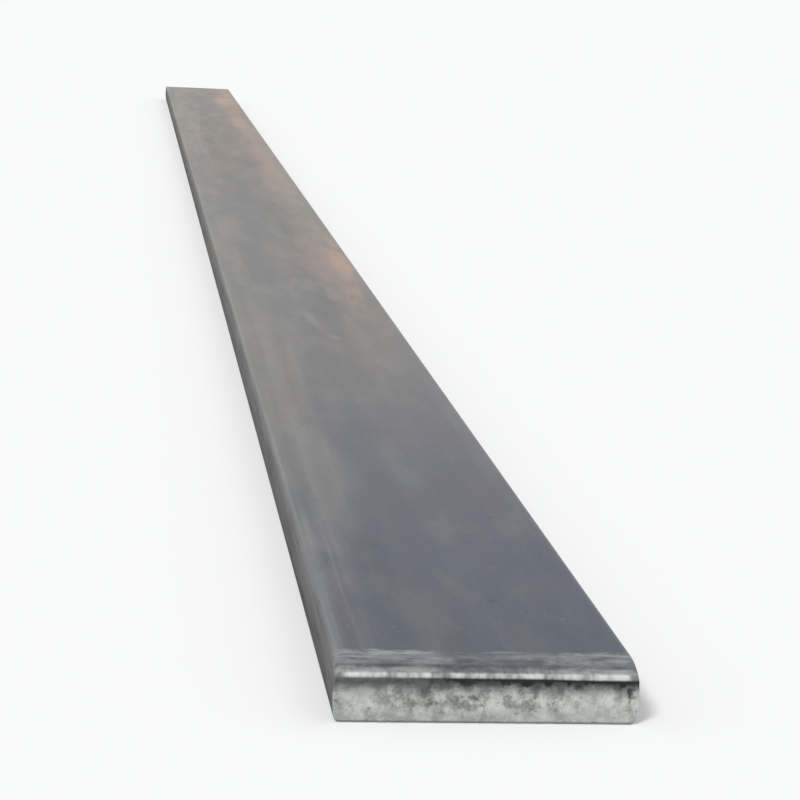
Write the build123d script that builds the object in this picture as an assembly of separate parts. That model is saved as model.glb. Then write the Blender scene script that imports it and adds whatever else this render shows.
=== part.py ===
from build123d import *
from math import radians, tan
import os

# A hot-rolled steel flat bar, cropped to length on a shear.
# X runs across the width, Y along the length and Z up through the thickness.
# The origin is in the middle of the underside. All sizes are in millimetres.

# Rolled section
bar_width = 100.0        # across the crowns of the two narrow sides
bar_thickness = 20.0
bar_length = 3000.0      # between the burnished lands of the two cut ends
side_crown = 0.8         # how far a narrow side bulges out at mid thickness
corner_radius = 1.5      # rolled rounding of the four long corners

# Sheared end, from the face that the blade enters to the face that it leaves
roll_over_length = 13.0  # stretch of the face that the blade drags down
roll_over_depth = 3.6    # how far the face has sunk where the cut begins
burnish_height = 1.8     # upright land that the blade's side rubs bright
fracture_lean = 2.5      # degrees that the torn face falls back from upright


def rolled_section():
    """Cross-section in X and Z: flat faces, and narrow sides with a slight crown."""
    corner_x = bar_width / 2 - side_crown
    mid_height = bar_thickness / 2
    with BuildSketch(Plane.XZ) as section:
        with BuildLine():
            Line((corner_x, 0), (-corner_x, 0))
            ThreePointArc((-corner_x, 0), (-bar_width / 2, mid_height), (-corner_x, bar_thickness))
            Line((-corner_x, bar_thickness), (corner_x, bar_thickness))
            ThreePointArc((corner_x, bar_thickness), (bar_width / 2, mid_height), (corner_x, 0))
        make_face()
    return section.sketch


def sheared_profile():
    """Side view in Y and Z. Each end is rolled over, burnished, then torn.

    The near end (-Y) is cut from the top down. The far end is the drop side of the
    next cut, so it is the same end turned half way round about X.
    """
    end_y = bar_length / 2
    land_top = bar_thickness - roll_over_depth
    land_bottom = land_top - burnish_height
    tear_setback = land_bottom * tan(radians(fracture_lean))

    def turned(point):
        return (-point[0], bar_thickness - point[1])

    tear_foot = (-end_y + tear_setback, 0)
    land_foot = (-end_y, land_bottom)
    land_head = (-end_y, land_top)
    flat_start = (-end_y + roll_over_length, bar_thickness)

    with BuildSketch(Plane.YZ) as profile:
        with BuildLine():
            Polyline(turned(flat_start), tear_foot, land_foot, land_head)
            TangentArc(flat_start, land_head, tangent=(-1, 0))
            Polyline(flat_start, turned(tear_foot), turned(land_foot), turned(land_head))
            TangentArc(turned(flat_start), turned(land_head), tangent=(1, 0))
        make_face()
    return profile.sketch


def flat_bar():
    """The rolled bar, trimmed by the two cuts, with its long corners rounded over the ends."""
    rolled = extrude(rolled_section(), amount=bar_length, both=True)
    trimmed = rolled & extrude(sheared_profile(), amount=bar_width, both=True)
    long_corners = [edge for edge in trimmed.edges() if runs_lengthwise(edge)]
    return fillet(long_corners, corner_radius)


def runs_lengthwise(edge):
    """True for the long corners and for their continuation over each rolled-over end."""
    span = edge.bounding_box().size
    return span.Y > max(span.X, span.Z)


bar = flat_bar()
bar.label = "flat_bar"
os.makedirs("parts", exist_ok=True)
export_step(bar, "parts/flat_bar.step")
print(f"flat_bar: {bar.volume:.0f} mm3, valid {bar.is_valid}")
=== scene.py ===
import math

import bmesh
import bpy
from mathutils import Matrix, Vector, noise


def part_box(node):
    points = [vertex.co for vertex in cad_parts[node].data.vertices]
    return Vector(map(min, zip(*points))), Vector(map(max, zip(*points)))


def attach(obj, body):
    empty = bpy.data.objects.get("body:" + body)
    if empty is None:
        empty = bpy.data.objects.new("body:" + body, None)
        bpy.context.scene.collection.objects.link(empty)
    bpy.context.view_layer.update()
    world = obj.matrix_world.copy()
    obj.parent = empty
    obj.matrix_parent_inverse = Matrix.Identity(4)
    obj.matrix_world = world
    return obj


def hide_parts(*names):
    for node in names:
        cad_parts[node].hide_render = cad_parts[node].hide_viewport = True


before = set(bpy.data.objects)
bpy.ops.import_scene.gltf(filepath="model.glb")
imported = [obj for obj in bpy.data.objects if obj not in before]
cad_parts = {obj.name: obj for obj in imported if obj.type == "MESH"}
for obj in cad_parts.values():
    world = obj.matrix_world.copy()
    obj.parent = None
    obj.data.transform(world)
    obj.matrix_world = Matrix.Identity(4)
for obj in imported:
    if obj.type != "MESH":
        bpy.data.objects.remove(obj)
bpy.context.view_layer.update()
mm = 0.001


class Wire:
    # An output of a shader node that can be used in sums. Every sum adds a Math node.
    def __init__(self, tree, socket):
        self.tree = tree
        self.socket = socket

    def out(self, name):
        # Another output of the same node.
        return Wire(self.tree, self.socket.node.outputs[name])

    def math(self, operation, *values):
        return self.tree.node("ShaderNodeMath", {"operation": operation}, dict(enumerate(values)))

    def __add__(self, other):
        return self.math("ADD", self, other)

    def __radd__(self, other):
        return self.math("ADD", other, self)

    def __sub__(self, other):
        return self.math("SUBTRACT", self, other)

    def __rsub__(self, other):
        return self.math("SUBTRACT", other, self)

    def __mul__(self, other):
        return self.math("MULTIPLY", self, other)

    def __rmul__(self, other):
        return self.math("MULTIPLY", other, self)

    def __truediv__(self, other):
        return self.math("DIVIDE", self, other)

    def __rtruediv__(self, other):
        return self.math("DIVIDE", other, self)

    def most(self, other):
        return self.math("MAXIMUM", self, other)

    def size(self):
        return self.math("ABSOLUTE", self)

    def swing(self, amount):
        # A pattern that runs from 0 to 1, brought to both sides of 0.
        return (self - 0.5) * amount

    def step(self, low, high):
        # Runs softly from 0 at low to 1 at high. low may be the larger one, which turns it round.
        return self.tree.node("ShaderNodeMapRange", {"interpolation_type": "SMOOTHSTEP"},
                              {"Value": self, "From Min": low, "From Max": high})


class Tree:
    # The nodes of one material, or of the world.
    def __init__(self, nodeTree):
        self.nodes = nodeTree.nodes
        self.links = nodeTree.links
        self.nodes.clear()

    def node(self, kind, settings, sockets):
        # Adds a node and gives its first output, if it has one.
        added = self.nodes.new(kind)
        for name, value in settings.items():
            setattr(added, name, value)
        for name, value in sockets.items():
            if isinstance(value, Wire):
                self.links.new(value.socket, added.inputs[name])
            else:
                added.inputs[name].default_value = value
        return Wire(self, added.outputs[0]) if added.outputs else None

    def blend(self, amount, first, second):
        # Mixes colours. The Mix node's colour sockets are 6 and 7, and its colour output is 2.
        pick = [value if isinstance(value, Wire) else (*value, 1.0) for value in (first, second)]
        return self.node("ShaderNodeMix", {"data_type": "RGBA"},
                         {0: amount, 6: pick[0], 7: pick[1]}).out(2)

    def place(self, stretch=(1.0, 1.0, 1.0), shift=(0.0, 0.0, 0.0)):
        # Object coordinates in metres. A factor below 1 draws a pattern out along that axis.
        where = self.node("ShaderNodeTexCoord", {}, {}).out("Object")
        return self.node("ShaderNodeMapping", {"vector_type": "POINT"},
                         {"Vector": where, "Location": shift, "Scale": stretch})

    def slanted(self, turn, stretch):
        # Object coordinates turned about Z, for a pattern that is drawn out along the turned Y.
        where = self.node("ShaderNodeTexCoord", {}, {}).out("Object")
        return self.node("ShaderNodeMapping", {"vector_type": "TEXTURE"},
                         {"Vector": where, "Rotation": (0.0, 0.0, turn), "Scale": (1.0, stretch, 1.0)})

    def axes(self):
        apart = self.node("ShaderNodeSeparateXYZ", {}, {0: self.place()})
        return [apart.out(axis) for axis in "XYZ"]

    def grain(self, where, scale, detail=3.0, rough=0.55, distort=0.0):
        return self.node("ShaderNodeTexNoise", {},
                         {"Vector": where, "Scale": scale, "Detail": detail,
                          "Roughness": rough, "Distortion": distort}).out("Fac")

    def cells(self, where, scale):
        return self.node("ShaderNodeTexVoronoi", {}, {"Vector": where, "Scale": scale}).out("Distance")

    def painted(self, name):
        # A value that the mesh carries on its vertices.
        return self.node("ShaderNodeAttribute", {"attribute_name": name}, {}).out("Fac")

    def bump(self, height, strength, depth):
        return self.node("ShaderNodeBump", {}, {"Height": height, "Strength": strength, "Distance": depth})

    def finish(self, sockets):
        shader = self.node("ShaderNodeBsdfPrincipled", {}, sockets)
        self.node("ShaderNodeOutputMaterial", {}, {"Surface": shader})


class Coat:
    # A colour that is built up in layers, from a dictionary that names the colours.
    def __init__(self, tree, colours, first):
        self.tree = tree
        self.colours = colours
        self.colour = colours[first]

    def layer(self, amount, top):
        # top is a colour's name or a wire. An amount of 1 covers what lies below.
        above = top if isinstance(top, Wire) else self.colours[top]
        self.colour = self.tree.blend(amount, self.colour, above)

    def ovals(self, spots, x, y, uneven, amount):
        # Soft oval patches with an uneven outline.
        for (midX, midY), (reachX, reachY), slant, name, strength in spots:
            along = y - midY
            across = (x - midX - along * slant) / reachX
            along = along / reachY
            patch = (across * across + along * along + uneven).step(1.15, -0.35)
            self.layer(patch * amount * strength, name)


def newMaterial(name):
    material = bpy.data.materials.new(name)
    material.use_nodes = True
    return material, Tree(material.node_tree)


# The bar. Sizes that it shares with the solid come from the frame, the rest are in metres.
barLow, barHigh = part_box("flat_bar")
bar = {
    "width": barHigh.x - barLow.x,
    "length": barHigh.y - barLow.y,
    "thickness": barHigh.z - barLow.z,
    "sideCrown": 0.8 * mm,
    "cornerRadius": 1.5 * mm,
    "cornerSteps": 5,
    "rollLength": 13.0 * mm,      # stretch of the face that the blade drags down
    "rollDepth": 3.6 * mm,
    "rollUneven": 0.12,           # share of its length by which it wanders
    "rollPatch": 9.0 * mm,
    "sunkFrom": 0.15,             # share of the thickness above which the steel sinks with the face
    "skinSpan": (0.72, 0.96),     # shares between which the drawn skin fades in on the sides
    "landHeight": 1.8 * mm,       # upright land rubbed by the blade's side
    "tearLean": math.radians(2.5),
    "tearStep": 0.5 * mm,         # the torn face starts this far behind the land
    "tearStart": 0.2 * mm,        # it sets in this far above the land's foot
    "tearFull": 1.6 * mm,         # and is fully torn this far below it
    "tearRough": 0.22 * mm,
    "tearGrain": 4.0 * mm,
    "tearSquash": 1.3,
    "tearLayers": (0.9, 2.1, 4),  # smoothness of the grain, step between its layers and their number
    "shellDepth": 0.08 * mm,      # small shell-like hollows on the torn face
    "shellGrain": 1.3 * mm,
    "toothDepth": 2.2 * mm,       # how far teeth of the land run down into the tear
    "toothWidth": 4.5 * mm,
    "toothGap": 0.12,             # a larger value leaves fewer teeth
    "toothGain": 2.4,
    "fringeDepth": 0.35 * mm,     # fine unevenness of the land's foot
    "fringeWidth": 0.9 * mm,
    "nearSeed": 12.0,
    "farSeed": 41.0,
    "pullIn": 8.0 * mm,           # the setback of a cut end fades out over this length
    "endZone": 26.0 * mm,         # length of the fine mesh at each end
    "endPitch": 0.6 * mm,
    "firstSlice": 0.25,           # the slice next to a cut is this share of the pitch, to keep it crisp
    "middlePitch": 5.0 * mm,
    "stationFirst": 1.0 * mm,     # steps along the bar, which grow towards its middle
    "stationGrowth": 0.07,
    "stationLimit": 30.0 * mm,
    "crispAngle": math.radians(60),
}


def slices(low, high, pitch):
    # Evenly spaced places between two limits, without the limits themselves.
    count = max(1, round((high - low) / pitch))
    return [low + (high - low) * i / count for i in range(1, count)]


def stationsFromEnd(start, stop):
    # Distances from a cut end that grow further apart towards the middle of the bar.
    places = []
    place = start
    while place < stop:
        places.append(place)
        place += min(bar["stationLimit"], max(bar["stationFirst"], place * bar["stationGrowth"]))
    return places


def sliceAcross(bm, geom, axis, places):
    normal = Vector((0.0, 0.0, 0.0))
    normal[axis] = 1.0
    for place in places:
        sliced = bmesh.ops.bisect_plane(bm, geom=geom, dist=1e-7, plane_co=normal * place, plane_no=normal)
        geom = sliced["geom"]
    return geom


def zoneOf(bm, low, high):
    # Everything between two stations along the bar, in the same order every time.
    faces = [f for f in bm.faces if low < f.calc_center_median().y < high]
    edges = dict.fromkeys(e for f in faces for e in f.edges)
    verts = dict.fromkeys(v for f in faces for v in f.verts)
    return [*verts, *edges, *faces]


def billet():
    # A plain bar with rounded long corners.
    bm = bmesh.new()
    bmesh.ops.create_cube(bm, size=1.0)
    bmesh.ops.scale(bm, vec=(bar["width"], bar["length"], bar["thickness"]), verts=bm.verts)
    bmesh.ops.translate(bm, vec=(0.0, 0.0, bar["thickness"] / 2), verts=bm.verts)
    longEdges = [e for e in bm.edges if abs(e.verts[0].co.y - e.verts[1].co.y) > bar["length"] / 2]
    bmesh.ops.bevel(bm, geom=longEdges, offset=bar["cornerRadius"], offset_type="OFFSET",
                    segments=bar["cornerSteps"], profile=0.5, affect="EDGES", material=-1)
    # The bevel leaves its faces in no fixed order. A sorted copy is sliced up the same way every time.
    bm.faces.sort(key=lambda f: f.calc_center_median().dot((1.0, 3.0, 7.0)))
    ordered = bm.copy()
    bm.free()
    return ordered


def slicedBar():
    # The billet, sliced finely at both ends and more and more coarsely towards its middle.
    bm = billet()
    half = bar["length"] / 2
    pitch = bar["endPitch"]
    inner = half - bar["endZone"]
    sliceAcross(bm, bm.verts[:] + bm.edges[:] + bm.faces[:], 1, [-inner, inner])
    reach = bar["width"] / 2 - bar["cornerRadius"]
    middle = sliceAcross(bm, zoneOf(bm, -inner, inner), 0, slices(-reach, reach, bar["middlePitch"]))
    growing = stationsFromEnd(bar["endZone"], half)[1:]
    sliceAcross(bm, middle, 1, [half - s for s in growing] + [s - half for s in growing])

    side = bar["width"] / 2
    for low, high in ((-half - mm, -inner), (inner, half + mm)):
        zone = sliceAcross(bm, zoneOf(bm, low, high), 0, slices(-side, side, pitch))
        zone = sliceAcross(bm, zone, 2, slices(0.0, bar["thickness"], pitch))
        away = 1 if high > 0 else -1
        near = [bar["firstSlice"] * pitch] + slices(0.0, bar["endZone"], pitch)
        sliceAcross(bm, zone, 1, [away * (half - s) for s in near])
    return bm


def smooth(value, low, high):
    t = min(1.0, max(0.0, (value - low) / (high - low)))
    return t * t * (3 - 2 * t)


def rollLengthAt(x, seed):
    # The start of the roll-over wanders a little.
    wander = noise.noise(Vector((x / bar["rollPatch"], seed, 0.0)))
    return bar["rollLength"] * (1.0 + bar["rollUneven"] * wander)


def sag(x, s, seed):
    # How far the rolled-over face has sunk at s from the cut.
    length = rollLengthAt(x, seed)
    if s >= length:
        return 0.0
    radius = (length ** 2 + bar["rollDepth"] ** 2) / (2 * bar["rollDepth"])
    return radius - math.sqrt(radius ** 2 - (length - s) ** 2)


def landFoot(x, seed):
    # Height of the land's lower edge, with a tooth here and there that runs further down.
    # The third coordinate keeps the two patterns apart.
    broad = noise.noise(Vector((x / bar["toothWidth"], seed, 3.0)))
    fine = noise.noise(Vector((x / bar["fringeWidth"], seed, 7.0)))
    tooth = max(0.0, broad - bar["toothGap"]) * bar["toothDepth"] * bar["toothGain"]
    return bar["thickness"] - bar["rollDepth"] - bar["landHeight"] - tooth - fine * bar["fringeDepth"]


def setback(x, height, seed):
    # How far the cut end stands behind its land, and the height of the land's foot.
    foot = landFoot(x, seed)
    torn = smooth(foot - height, -bar["tearStart"], bar["tearFull"])
    where = Vector((x, height * bar["tearSquash"], seed * mm))
    rough = noise.fractal(where / bar["tearGrain"], *bar["tearLayers"])
    shell = noise.noise(where / bar["shellGrain"])
    depth = bar["tearStep"] + max(0.0, foot - height) * math.tan(bar["tearLean"])
    depth += bar["tearRough"] * (1.0 + rough) + bar["shellDepth"] * shell
    return max(0.0, torn * depth), foot


def cutEnds(bm):
    # Rolls over, rubs and tears both ends. The far end is the near one turned over about X.
    # "rolled" grows from -1 on the plain face over 0 where the roll-over starts to 1 at the land.
    # "below" is how far, in millimetres, a place on the cut lies under the land's foot, and "rise"
    # its height, 0 to 1.
    half = bar["length"] / 2
    thickness = bar["thickness"]
    skinLow, skinHigh = bar["skinSpan"]
    painted = {name: bm.verts.layers.float.new(name) for name in ("rolled", "below", "rise")}
    for v in bm.verts:
        far = v.co.y > 0
        seed = bar["farSeed"] if far else bar["nearSeed"]
        s = half - abs(v.co.y)
        height = thickness - v.co.z if far else v.co.z
        v[painted["rolled"]] = -1.0
        v.co.x *= 1.0 - 2 * bar["sideCrown"] / bar["width"] * (2 * v.co.z / thickness - 1.0) ** 2
        if s > bar["endZone"] + mm:
            continue
        upper = smooth(height, bar["sunkFrom"] * thickness, thickness)
        drawn = smooth(height, skinLow * thickness, skinHigh * thickness)
        rolled = 1.0 - s / rollLengthAt(v.co.x, seed) - 2.0 * (1.0 - drawn)
        v[painted["rolled"]] = max(-1.0, rolled)
        height -= sag(v.co.x, s, seed) * upper
        back, foot = setback(v.co.x, height, seed)
        fade = max(0.0, 1.0 - s / bar["pullIn"])
        v[painted["below"]] = (foot - height) / mm
        v[painted["rise"]] = height / thickness
        v.co.z = thickness - height if far else height
        v.co.y = math.copysign(half - s - back * fade, v.co.y)


def markCuts(bm, millIndex, cutIndex):
    # The two cut ends get their own finish. This is done while they are still flat.
    bm.normal_update()
    for f in bm.faces:
        f.material_index = cutIndex if abs(f.normal.y) > 0.9 else millIndex
        f.smooth = True


def keepCrisp(bm):
    # The outline of the cut stays crisp wherever the steel turns sharply.
    bm.normal_update()
    for e in bm.edges:
        if len(e.link_faces) == 2 and e.calc_face_angle() > bar["crispAngle"]:
            e.smooth = False


def makeBar():
    bm = slicedBar()
    markCuts(bm, 0, 1)
    cutEnds(bm)
    keepCrisp(bm)
    mesh = bpy.data.meshes.new("rolledBar")
    bm.to_mesh(mesh)
    bm.free()
    piece = bpy.data.objects.new("rolledBar", mesh)
    bpy.context.scene.collection.objects.link(piece)
    mesh.materials.append(millScale())
    mesh.materials.append(cutSteel())
    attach(piece, "root")
    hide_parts("flat_bar")
    mesh.calc_loop_triangles()
    print("bar:", len(mesh.loop_triangles), "triangles")


# The rubbed nose of a cut, which is where the roll-over ends and the land begins. Its bright
# colour is rubbed steel with a painted highlight on it.
nose = {
    "dull": (0.205, 0.215, 0.208),
    "bright": (0.660, 0.670, 0.652),
}


def noseColour(tree, x):
    # Bright stretches of a few millimetres, between duller ones, brightest towards the two sides
    # and dull again at the corners: rubbed steel with a painted highlight.
    beads = tree.grain(tree.place((1.0, 0.4, 0.4)), 170.0, 3.0, 0.55)
    aside = x.size().step(10 * mm, 46 * mm)
    outer = x.size().step(44 * mm, 49 * mm)
    noseRubAndHighlight = Coat(tree, nose, "dull")
    noseRubAndHighlight.layer((beads + aside * 0.08 - outer * 0.16).step(0.36, 0.64), "bright")
    return noseRubAndHighlight.colour, beads


scale = {
    "blue": (0.051, 0.063, 0.093),       # clean scale
    "lilac": (0.069, 0.064, 0.089),
    "sage": (0.062, 0.076, 0.084),
    "slate": (0.092, 0.102, 0.114),
    "grey": (0.132, 0.128, 0.128),
    "warm": (0.160, 0.136, 0.114),
    # pale dust, also laid on as a painted sheen towards the far end
    "dustAndSheen": (0.228, 0.215, 0.188),
    "peach": (0.400, 0.255, 0.195),
    "rust": (0.400, 0.170, 0.075),
    "brown": (0.270, 0.150, 0.095),
    "pale": (0.360, 0.360, 0.350),
    "dark": (0.020, 0.022, 0.026),
    "flank": (0.115, 0.110, 0.108),
    "rolled": (0.135, 0.141, 0.153),
    "metallic": 0.05,
    "roughness": 0.45,
    "specular": 0.25,
    "bumpStrength": 0.35,
    "bumpDepth": 0.12 * mm,
    # place of a stain across and along the bar, its reach both ways, slant, colour, strength
    "stains": (
        ((0.0400, -0.545), (0.0090, 0.100), 0.03, "peach", 0.95),
        ((0.0440, -0.435), (0.0060, 0.080), 0.00, "peach", 0.45),
        ((0.0335, -0.695), (0.0110, 0.065), 0.00, "peach", 0.55),
        ((0.0340, -0.520), (0.0230, 0.330), 0.00, "peach", 0.36),
        ((0.0210, -0.695), (0.0060, 0.035), 0.00, "peach", 0.22),
        ((-0.037, -0.520), (0.0080, 0.060), 0.00, "peach", 0.12),
        ((0.0330, 0.150), (0.0170, 0.500), 0.00, "peach", 0.34),
        ((0.0310, 0.780), (0.0120, 0.140), 0.00, "peach", 0.60),
        ((-0.022, -0.215), (0.0500, 0.120), 0.00, "slate", 0.45),
        ((0.0290, 1.190), (0.0150, 0.120), 0.00, "peach", 0.95),
        ((0.0370, 1.035), (0.0180, 0.070), 0.00, "brown", 0.85),
        ((0.0360, 1.350), (0.0180, 0.170), 0.00, "peach", 0.28),
        ((0.0470, 1.220), (0.0070, 0.350), 0.00, "rust", 0.26),
        ((0.0050, -0.868), (0.0055, 0.014), -0.20, "pale", 0.34),
        ((-0.001, -0.815), (0.0040, 0.060), -0.06, "pale", 0.24),
        ((0.0060, -1.232), (0.0070, 0.030), 0.00, "pale", 0.10),
        ((0.0450, -1.120), (0.0060, 0.190), 0.00, "pale", 0.12),
        ((0.0125, -1.426), (0.0018, 0.003), 0.00, "dark", 0.50),
        ((0.0317, -1.303), (0.0026, 0.004), 0.00, "dark", 0.45),
        ((-0.021, -1.350), (0.0014, 0.003), 0.00, "dark", 0.35),
        ((-0.038, -1.280), (0.0018, 0.004), 0.00, "dark", 0.30),
    ),
}


def layRolledSkin(tree, coat, x, rolled):
    # The drawn skin of the roll-over: soft smears across the bar, rubbed paler towards its two
    # sides, then a dark line and upright drag marks behind the bright nose. Gives the skin's
    # relief, and how much of the nose there is, 0 to 1.
    patches = tree.grain(tree.place(), 80.0, 3.0, 0.6)
    smears = tree.grain(tree.place((0.12, 1.0, 1.0)), 400.0, 3.0, 0.6)
    blotches = tree.grain(tree.place((0.5, 1.0, 1.0)), 330.0, 3.0, 0.6)
    creases = tree.grain(tree.place((0.30, 1.0, 1.0)), 1100.0, 3.0, 0.65)
    drags = tree.grain(tree.place((1.0, 0.16, 0.16)), 560.0, 4.0, 0.7)
    aside = (x.size() + patches.swing(60 * mm)).step(12 * mm, 34 * mm)
    skin = (rolled + patches.swing(0.65) + blotches.swing(0.5)).step(-0.16, 0.18)
    worn = skin * (0.35 + aside * 0.65)
    coat.layer(worn * 0.90, "rolled")
    coat.layer(worn * (0.10 + patches.step(0.45, 0.62) * 0.22), "pale")
    coat.layer(worn * smears.step(0.46, 0.66) * 0.55, "pale")
    coat.layer(skin * smears.step(0.48, 0.32) * 0.34, "dark")
    coat.layer(worn * blotches.step(0.46, 0.66) * 0.40, "pale")
    coat.layer(skin * blotches.step(0.45, 0.29) * 0.34, "dark")
    coat.layer(skin * creases.step(0.52, 0.72) * 0.12, "pale")
    coat.layer(skin * creases.step(0.46, 0.28) * 0.18, "dark")
    fold = rolled + blotches.swing(0.14)
    coat.layer(fold.step(0.60, 0.70) * fold.step(0.82, 0.72) * 0.34, "dark")
    dragged = (rolled + drags.swing(0.24) + patches.swing(0.5)).step(0.76, 0.92)
    coat.layer(dragged * drags.step(0.36, 0.66) * (0.22 + aside * 0.20), "pale")
    coat.layer(dragged * drags.step(0.46, 0.32) * 0.40, "dark")
    # The bright nose: rubbed steel with a painted highlight.
    noseRubAndHighlight, beads = noseColour(tree, x)
    lip = (rolled + drags.swing(0.06)).step(0.90, 1.00)
    coat.layer(lip, noseRubAndHighlight)
    return skin * (creases + smears + blotches - 1.5) * 0.5, lip


def scratches(tree, turn, sparse):
    # Long thin handling marks in one direction, 0 to 1.
    marks = tree.grain(tree.slanted(turn, 70.0), 2400.0, 1.0)
    here = tree.grain(tree.slanted(turn, 6.0), 45.0, 2.0)
    return marks.step(sparse, sparse + 0.09) * here.step(0.50, 0.62)


def flakes(tree, ragged):
    # Spots where scale has flaked: the spot's shape, 0 to 1, and a random number for each spot,
    # which is its cell's random colour after a Math node has made it grey.
    distance = tree.cells(tree.place((1.0, 0.55, 1.0)), 300.0)
    return (distance + ragged.swing(1.5)).step(0.26, 0.14), distance.out("Color") * 1.0


def sideColourAndShade(tree, z, fine):
    # The narrow sides are rougher than the faces. Their colour carries painted light, paler near
    # the top, and painted shade towards the floor.
    drawn = tree.grain(tree.place((0.2, 0.06, 1.0)), 240.0, 3.0, 0.6)
    side = Coat(tree, scale, "dark")
    side.layer(drawn.step(0.25, 0.60), "flank")
    side.layer(fine.step(0.48, 0.28) * 0.35, "dark")
    # painted light near the top and painted shade towards the floor
    side.layer(z.step(7 * mm, 18 * mm) * 0.22, "pale")
    side.layer(z.step(9 * mm, 1 * mm) * 0.45, "dark")
    return side.colour


def millScale():
    material, tree = newMaterial("millScale")
    half = bar["width"] / 2
    x, y, z = tree.axes()
    cloud = tree.grain(tree.place((1.0, 0.16, 1.0)), 24.0, 3.0)
    mottle = tree.grain(tree.place((1.0, 0.26, 1.0)), 62.0, 3.0, 0.55, 0.3)
    tinge = tree.grain(tree.place((1.0, 0.22, 1.0), (0.3, 0.7, 0.0)), 48.0, 3.0)
    drift = tree.grain(tree.place((1.0, 0.12, 1.0), (0.1, 0.4, 0.0)), 46.0, 3.0, 0.6, 0.4)
    lines = tree.grain(tree.place((1.0, 0.02, 1.0)), 90.0, 3.0, 0.6)
    fine = tree.grain(tree.place((1.0, 0.30, 1.0)), 620.0, 3.0, 0.65)
    specks = tree.grain(tree.place(), 1500.0, 2.0)
    wander = tree.grain(tree.place((0.2, 1.0, 0.2)), 6.0, 2.0).swing(34 * mm)

    # Colour along the bar: blue and clean near one end, then duller and warmer. Its paling towards
    # the far end is partly the scale's own colour and partly a painted sheen.
    along = y + cloud.swing(0.6)
    coat = Coat(tree, scale, "blue")
    coat.layer(mottle.step(0.42, 0.66) * 0.8, "lilac")
    coat.layer(tinge.step(0.50, 0.68) * 0.8, "sage")
    coat.layer(along.step(-1.42, -0.82), "grey")
    coat.layer(along.step(-0.95, 0.9) * 0.85, "warm")
    leftBand = (x + wander).step(-0.34 * half, -0.62 * half) * (y + mottle.swing(0.3)).step(-1.47, -1.24)
    rightBand = (x + wander).step(0.25 * half, 0.95 * half) * along.step(-1.10, -0.20)
    warmBand = (x + wander).step(0.05 * half, 0.65 * half) * along.step(-0.55, 1.35)
    coat.layer(leftBand * (0.44 + along.step(-0.6, 1.3) * 0.38), "dustAndSheen")
    coat.layer(rightBand * 0.45, "dustAndSheen")
    coat.layer(warmBand * 0.42, "peach")
    # Paler towards the far end: partly dust, partly a painted sheen.
    coat.layer(along.step(0.75, 1.45) * 0.28, "dustAndSheen")
    # The duller part is patchy, here warmer and there paler.
    dull = along.step(-1.25, -0.60)
    coat.layer(dull * tinge.step(0.48, 0.66) * 0.28, "dustAndSheen")
    coat.layer(dull * drift.step(0.50, 0.66) * 0.13, "peach")
    coat.layer(dull * drift.step(0.50, 0.34) * 0.34, "slate")
    coat.layer(dull * mottle.step(0.47, 0.30) * 0.12, "slate")

    # Soft patches, faint lines of the rolls and fine grain.
    streaky = (x + wander).step(-0.15 * half, -0.70 * half)
    coat.layer(lines.step(0.50, 0.80) * (0.05 + streaky * 0.20), "pale")
    coat.layer(lines.step(0.50, 0.22) * (0.10 + streaky * 0.15), "dark")
    scuffed = x.step(-33 * mm, -40 * mm) * y.step(-1.08, -1.38)
    coat.layer(scuffed * lines.step(0.46, 0.60) * 0.20, "pale")
    coat.layer(cloud.step(0.52, 0.28) * 0.30, "dark")
    coat.layer(tinge.step(0.48, 0.76) * 0.08, "pale")
    coat.layer(mottle.step(0.52, 0.25) * (0.16 - dull * 0.09), "dark")
    coat.layer(fine.step(0.54, 0.80) * 0.16, "pale")
    coat.layer(fine.step(0.46, 0.22) * 0.32, "dark")

    # Flaked spots, scratches and stains.
    spot, chance = flakes(tree, fine * 0.5 + specks * 0.5)
    lost = spot * (chance + tinge.swing(0.5)).step(0.80, 0.84)
    coat.layer(lost * 0.32, "dark")
    coat.layer(spot * chance.step(0.18, 0.14) * 0.10, "pale")
    coat.layer(scratches(tree, 0.05, 0.62).most(scratches(tree, -0.16, 0.66)) * 0.12, "pale")
    uneven = cloud.swing(1.2) + mottle.swing(2.4) + fine.swing(1.4)
    grainy = 0.62 + (specks.step(0.36, 0.64) + fine.step(0.36, 0.64) + drift) * 0.25
    onTop = z.step(0.4 * bar["thickness"], 0.6 * bar["thickness"]) * grainy
    coat.ovals(scale["stains"], x, y, uneven, onTop)

    # The narrow sides, with painted light and shade, and the long corners, rubbed paler and with a
    # painted highlight.
    fromSide = half - x.size()
    fromMiddle = (z - bar["thickness"] / 2).size()
    flank = fromSide.step(1.8 * mm, 0.6 * mm)
    coat.layer(flank * 0.85, sideColourAndShade(tree, z, fine))
    # rubbed paler along the rounding, with a painted highlight on it
    cornerRubAndHighlight = (fromMiddle - fromSide).step(6.8 * mm, 8.8 * mm)
    coat.layer(cornerRubAndHighlight * (0.14 + specks.step(0.44, 0.62) * 0.20), "pale")

    creased, lip = layRolledSkin(tree, coat, x, tree.painted("rolled"))
    pits = tree.cells(tree.place(), 60.0).step(0.10, 0.02) * cloud.step(0.48, 0.60)
    height = fine * 0.25 + lines * 0.20 + mottle * 0.4 - pits * 1.2 + creased * 1.3 - lost * 0.35
    roughness = scale["roughness"] + cloud.swing(0.16) + fine.swing(0.12) + flank * 0.35 - lip * 0.08
    tree.finish({
        "Base Color": coat.colour,
        "Metallic": scale["metallic"] + lip * 0.35,
        "Roughness": roughness,
        "Specular IOR Level": scale["specular"],
        "Normal": tree.bump(height, scale["bumpStrength"], scale["bumpDepth"]),
    })
    return material


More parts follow.
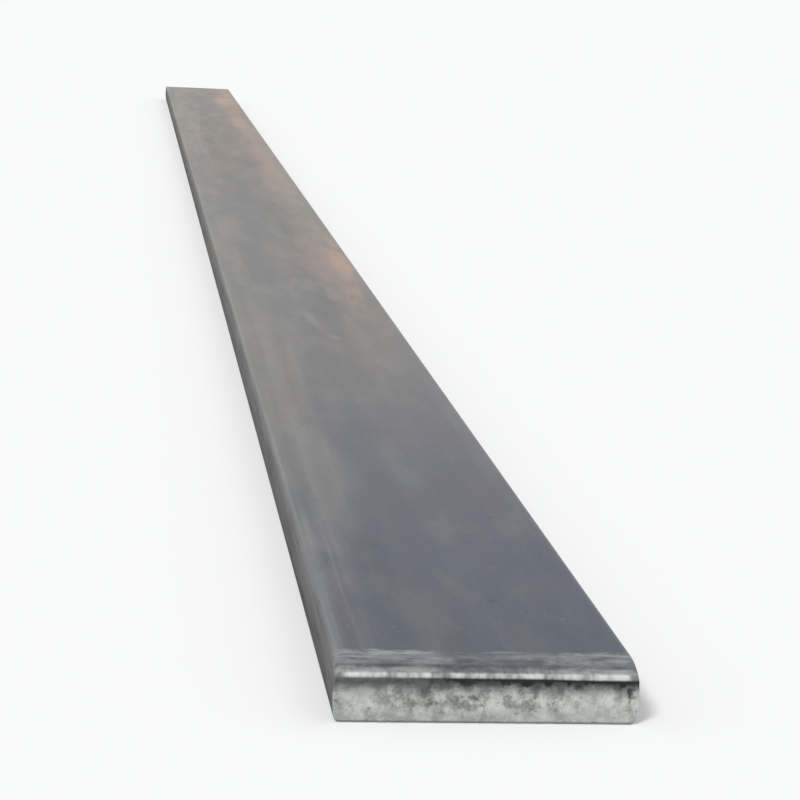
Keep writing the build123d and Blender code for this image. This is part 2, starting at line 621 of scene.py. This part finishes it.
cut = {
    "torn": (0.330, 0.345, 0.325),
    "tornPale": (0.600, 0.615, 0.590),
    "tornDark": (0.080, 0.090, 0.083),
    # painted shade below the nose, and its darkest line just under it
    "shade": (0.084, 0.092, 0.087),
    "shadowUnderNose": (0.016, 0.019, 0.018),
    "metallic": 0.10,
    "roughness": 0.62,
    "specular": 0.20,
    "bumpStrength": 0.50,
    "bumpDepth": 0.25 * mm,
    # place of a mark on the near end across and up, its reach both ways, slant, colour, strength
    "marks": (
        ((-0.0410, 0.0090), (0.0060, 0.0036), 0.0, "tornPale", 0.45),
        ((0.0370, 0.0070), (0.0100, 0.0050), 0.0, "tornPale", 0.40),
        ((-0.0150, 0.0060), (0.0110, 0.0028), 0.0, "tornDark", 0.20),
        ((-0.0180, 0.0064), (0.0034, 0.0013), 0.0, "tornDark", 0.55),
        ((-0.0106, 0.0078), (0.0016, 0.0010), 0.0, "tornDark", 0.50),
        ((-0.0043, 0.0084), (0.0022, 0.0012), 0.0, "tornDark", 0.55),
        ((-0.0010, 0.0059), (0.0016, 0.0019), 0.0, "tornDark", 0.60),
        ((0.0160, 0.0056), (0.0020, 0.0014), 0.0, "tornDark", 0.50),
        # dark drips of painted shade below the nose
        ((-0.0070, 0.0134), (0.0036, 0.0013), 0.0, "shadowUnderNose", 0.75),
        ((0.0295, 0.0128), (0.0020, 0.0018), 0.0, "shadowUnderNose", 0.70),
        ((0.0470, 0.0106), (0.0014, 0.0042), 0.0, "shadowUnderNose", 0.85),
    ),
}


def cutSteel():
    material, tree = newMaterial("cutSteel")
    x, y, z = tree.axes()
    below = tree.painted("below")
    rise = tree.painted("rise")
    mottle = tree.grain(tree.place(), 240.0, 4.0, 0.65)
    grit = tree.grain(tree.place(), 800.0, 3.0, 0.7, 0.5)
    patch = tree.grain(tree.place(), 85.0, 3.0, 0.6)
    drawn = tree.grain(tree.place((1.0, 1.0, 0.20)), 420.0, 3.0, 0.6)
    notches = tree.grain(tree.place((1.0, 1.0, 0.50)), 280.0, 3.0, 0.6).step(0.46, 0.68)

    coat = Coat(tree, cut, "torn")
    coat.layer(mottle.step(0.34, 0.66), "tornPale")
    coat.layer(drawn.step(0.50, 0.74) * rise.step(0.60, 0.15) * 0.6, "tornPale")
    coat.layer(grit.step(0.45, 0.28) * 0.42, "tornDark")
    # Ragged pits gather a little below the middle, and away from the two sides.
    belt = rise.step(0.12, 0.28) * rise.step(0.58, 0.40)
    inner = (x.size() + patch.swing(30 * mm)).step(38 * mm, 16 * mm)
    crowd = patch.swing(0.30) + belt * (0.06 + inner * 0.05)
    ragged = (grit * 0.5 + mottle * 0.5 - crowd).step(0.435, 0.300)
    coat.layer(ragged * 0.36, "tornDark")
    coat.layer(rise.step(0.34, 0.08) * 0.25, "torn")

    # Painted shade under the nose: the land is dark below it, and that shade fades out over the tear.
    # Near the left side it is weaker and reaches further down.
    left = (x + patch.swing(40 * mm)).step(-14 * mm, -34 * mm)
    edge = below - left * 1.0 + mottle.swing(3.4) + grit.swing(1.8) + patch.swing(4.5)
    coat.layer(edge.step(7.0, 0.2) * (1.0 - left * 0.13), "shade")
    # The darkest painted shade, in a band right under the nose.
    foot = rise + mottle.swing(0.10) + grit.swing(0.06) + patch.swing(0.14) + notches * 0.08
    coat.layer(foot.step(0.655, 0.735) * (0.97 - left * 0.87), "shadowUnderNose")

    uneven = mottle.swing(2.6) + grit.swing(1.6)
    nearEnd = y.step(mm, -mm)
    coat.ovals(cut["marks"], x, z, uneven, nearEnd)
    # A thin painted shade along the bottom edge of the cut, where it meets the floor.
    coat.layer(rise.step(0.045, 0.005) * 0.7, "tornDark")
    # The bright nose: rubbed steel with a painted highlight.
    noseRubAndHighlight, beads = noseColour(tree, x)
    lower = x.step(16 * mm, 34 * mm) * 0.014      # the nose hangs lower on the right
    lip = (rise + lower + beads.swing(0.012) + grit.swing(0.016)).step(0.745, 0.792)
    coat.layer(lip, noseRubAndHighlight)
    height = mottle + grit * 0.5 - ragged * 0.6
    tree.finish({
        "Base Color": coat.colour,
        "Metallic": cut["metallic"] + lip * 0.30,
        "Roughness": cut["roughness"] - lip * 0.22,
        "Specular IOR Level": cut["specular"],
        "Normal": tree.bump(height, cut["bumpStrength"], cut["bumpDepth"]),
    })
    return material


studio = {
    "floorSize": 160.0,
    "floorColour": (0.80, 0.80, 0.80, 1.0),
    "floorGlow": 0.17,                          # to the camera and in reflections only
    "floorDrop": 0.3 * mm,
    "skyColour": (0.97, 0.985, 1.0, 1.0),
    "skyLight": 0.50,
    "backdrop": (0.950, 0.956, 0.956, 1.0),     # the tone of the lit floor, so that no horizon shows
    # name of a sun, the direction towards it, its spread in degrees, and what it adds to a white
    # face that is turned straight to it
    "suns": (
        ("keySun", (-0.50, -0.65, 0.90), 14.0, 0.60),
        ("fillSun", (0.60, 0.35, 0.90), 40.0, 0.06),
    ),
}


def whiteToView(tree):
    # 1 where the camera, a reflection or a see-through part looks straight at the backdrop.
    rays = tree.node("ShaderNodeLightPath", {}, {})
    seen = rays.out("Is Camera Ray").most(rays.out("Is Glossy Ray"))
    return seen.most(rays.out("Is Transmission Ray"))


def makeFloor():
    bm = bmesh.new()
    bmesh.ops.create_grid(bm, x_segments=1, y_segments=1, size=studio["floorSize"] / 2)
    bmesh.ops.translate(bm, vec=(0.0, 0.0, -studio["floorDrop"]), verts=bm.verts)
    mesh = bpy.data.meshes.new("floor")
    bm.to_mesh(mesh)
    bm.free()
    floor = bpy.data.objects.new("floor", mesh)
    bpy.context.scene.collection.objects.link(floor)
    material, tree = newMaterial("paleFloor")
    tree.finish({
        "Base Color": studio["floorColour"],
        "Roughness": 1.0,
        "Specular IOR Level": 0.0,
        "Emission Color": tree.blend(whiteToView(tree), (0.0, 0.0, 0.0), (1.0, 1.0, 1.0)),
        "Emission Strength": studio["floorGlow"],
    })
    mesh.materials.append(material)
    print("floor set")


def makeWorld():
    # White to the camera and to reflections, softer where it lights the bar.
    world = bpy.data.worlds.new("studioWorld")
    bpy.context.scene.world = world
    world.use_nodes = True
    tree = Tree(world.node_tree)
    sky = tree.node("ShaderNodeBackground", {},
                    {"Color": studio["skyColour"], "Strength": studio["skyLight"]})
    backdrop = tree.node("ShaderNodeBackground", {}, {"Color": studio["backdrop"], "Strength": 1.0})
    both = tree.node("ShaderNodeMixShader", {}, {0: whiteToView(tree), 1: sky, 2: backdrop})
    tree.node("ShaderNodeOutputWorld", {}, {"Surface": both})
    print("world set")


def makeSuns():
    for name, towards, spread, brightness in studio["suns"]:
        lamp = bpy.data.lights.new(name, "SUN")
        lamp.angle = math.radians(spread)
        lamp.energy = brightness * math.pi
        holder = bpy.data.objects.new(name, lamp)
        holder.rotation_euler = Vector(towards).to_track_quat("Z", "Y").to_euler()
        bpy.context.scene.collection.objects.link(holder)
    print("suns set")


view = {
    "place": (-0.1225, -2.2018, 0.2414),
    "turn": 7.25,      # degrees to the right of straight along the bar
    "down": 10.87,     # degrees below level
    "roll": 2.89,
    "lens": 104.0,
    "sensor": 36.0,
    "farthest": 400.0,
}


def makeCamera():
    camera = bpy.data.objects.new("camera", bpy.data.cameras.new("camera"))
    camera.data.lens = view["lens"]
    camera.data.sensor_width = view["sensor"]
    camera.data.clip_end = view["farthest"]
    turn, down = math.radians(view["turn"]), math.radians(view["down"])
    ahead = Vector((math.sin(turn) * math.cos(down), math.cos(turn) * math.cos(down), -math.sin(down)))
    aimed = ahead.to_track_quat("-Z", "Y").to_matrix().to_4x4()
    rolled = Matrix.Rotation(math.radians(view["roll"]), 4, "Z")
    camera.matrix_world = Matrix.Translation(view["place"]) @ aimed @ rolled
    bpy.context.scene.collection.objects.link(camera)
    bpy.context.scene.camera = camera
    print("camera set")


makeCamera()
makeBar()
makeFloor()
makeWorld()
makeSuns()
bpy.context.scene.view_settings.view_transform = "Standard"
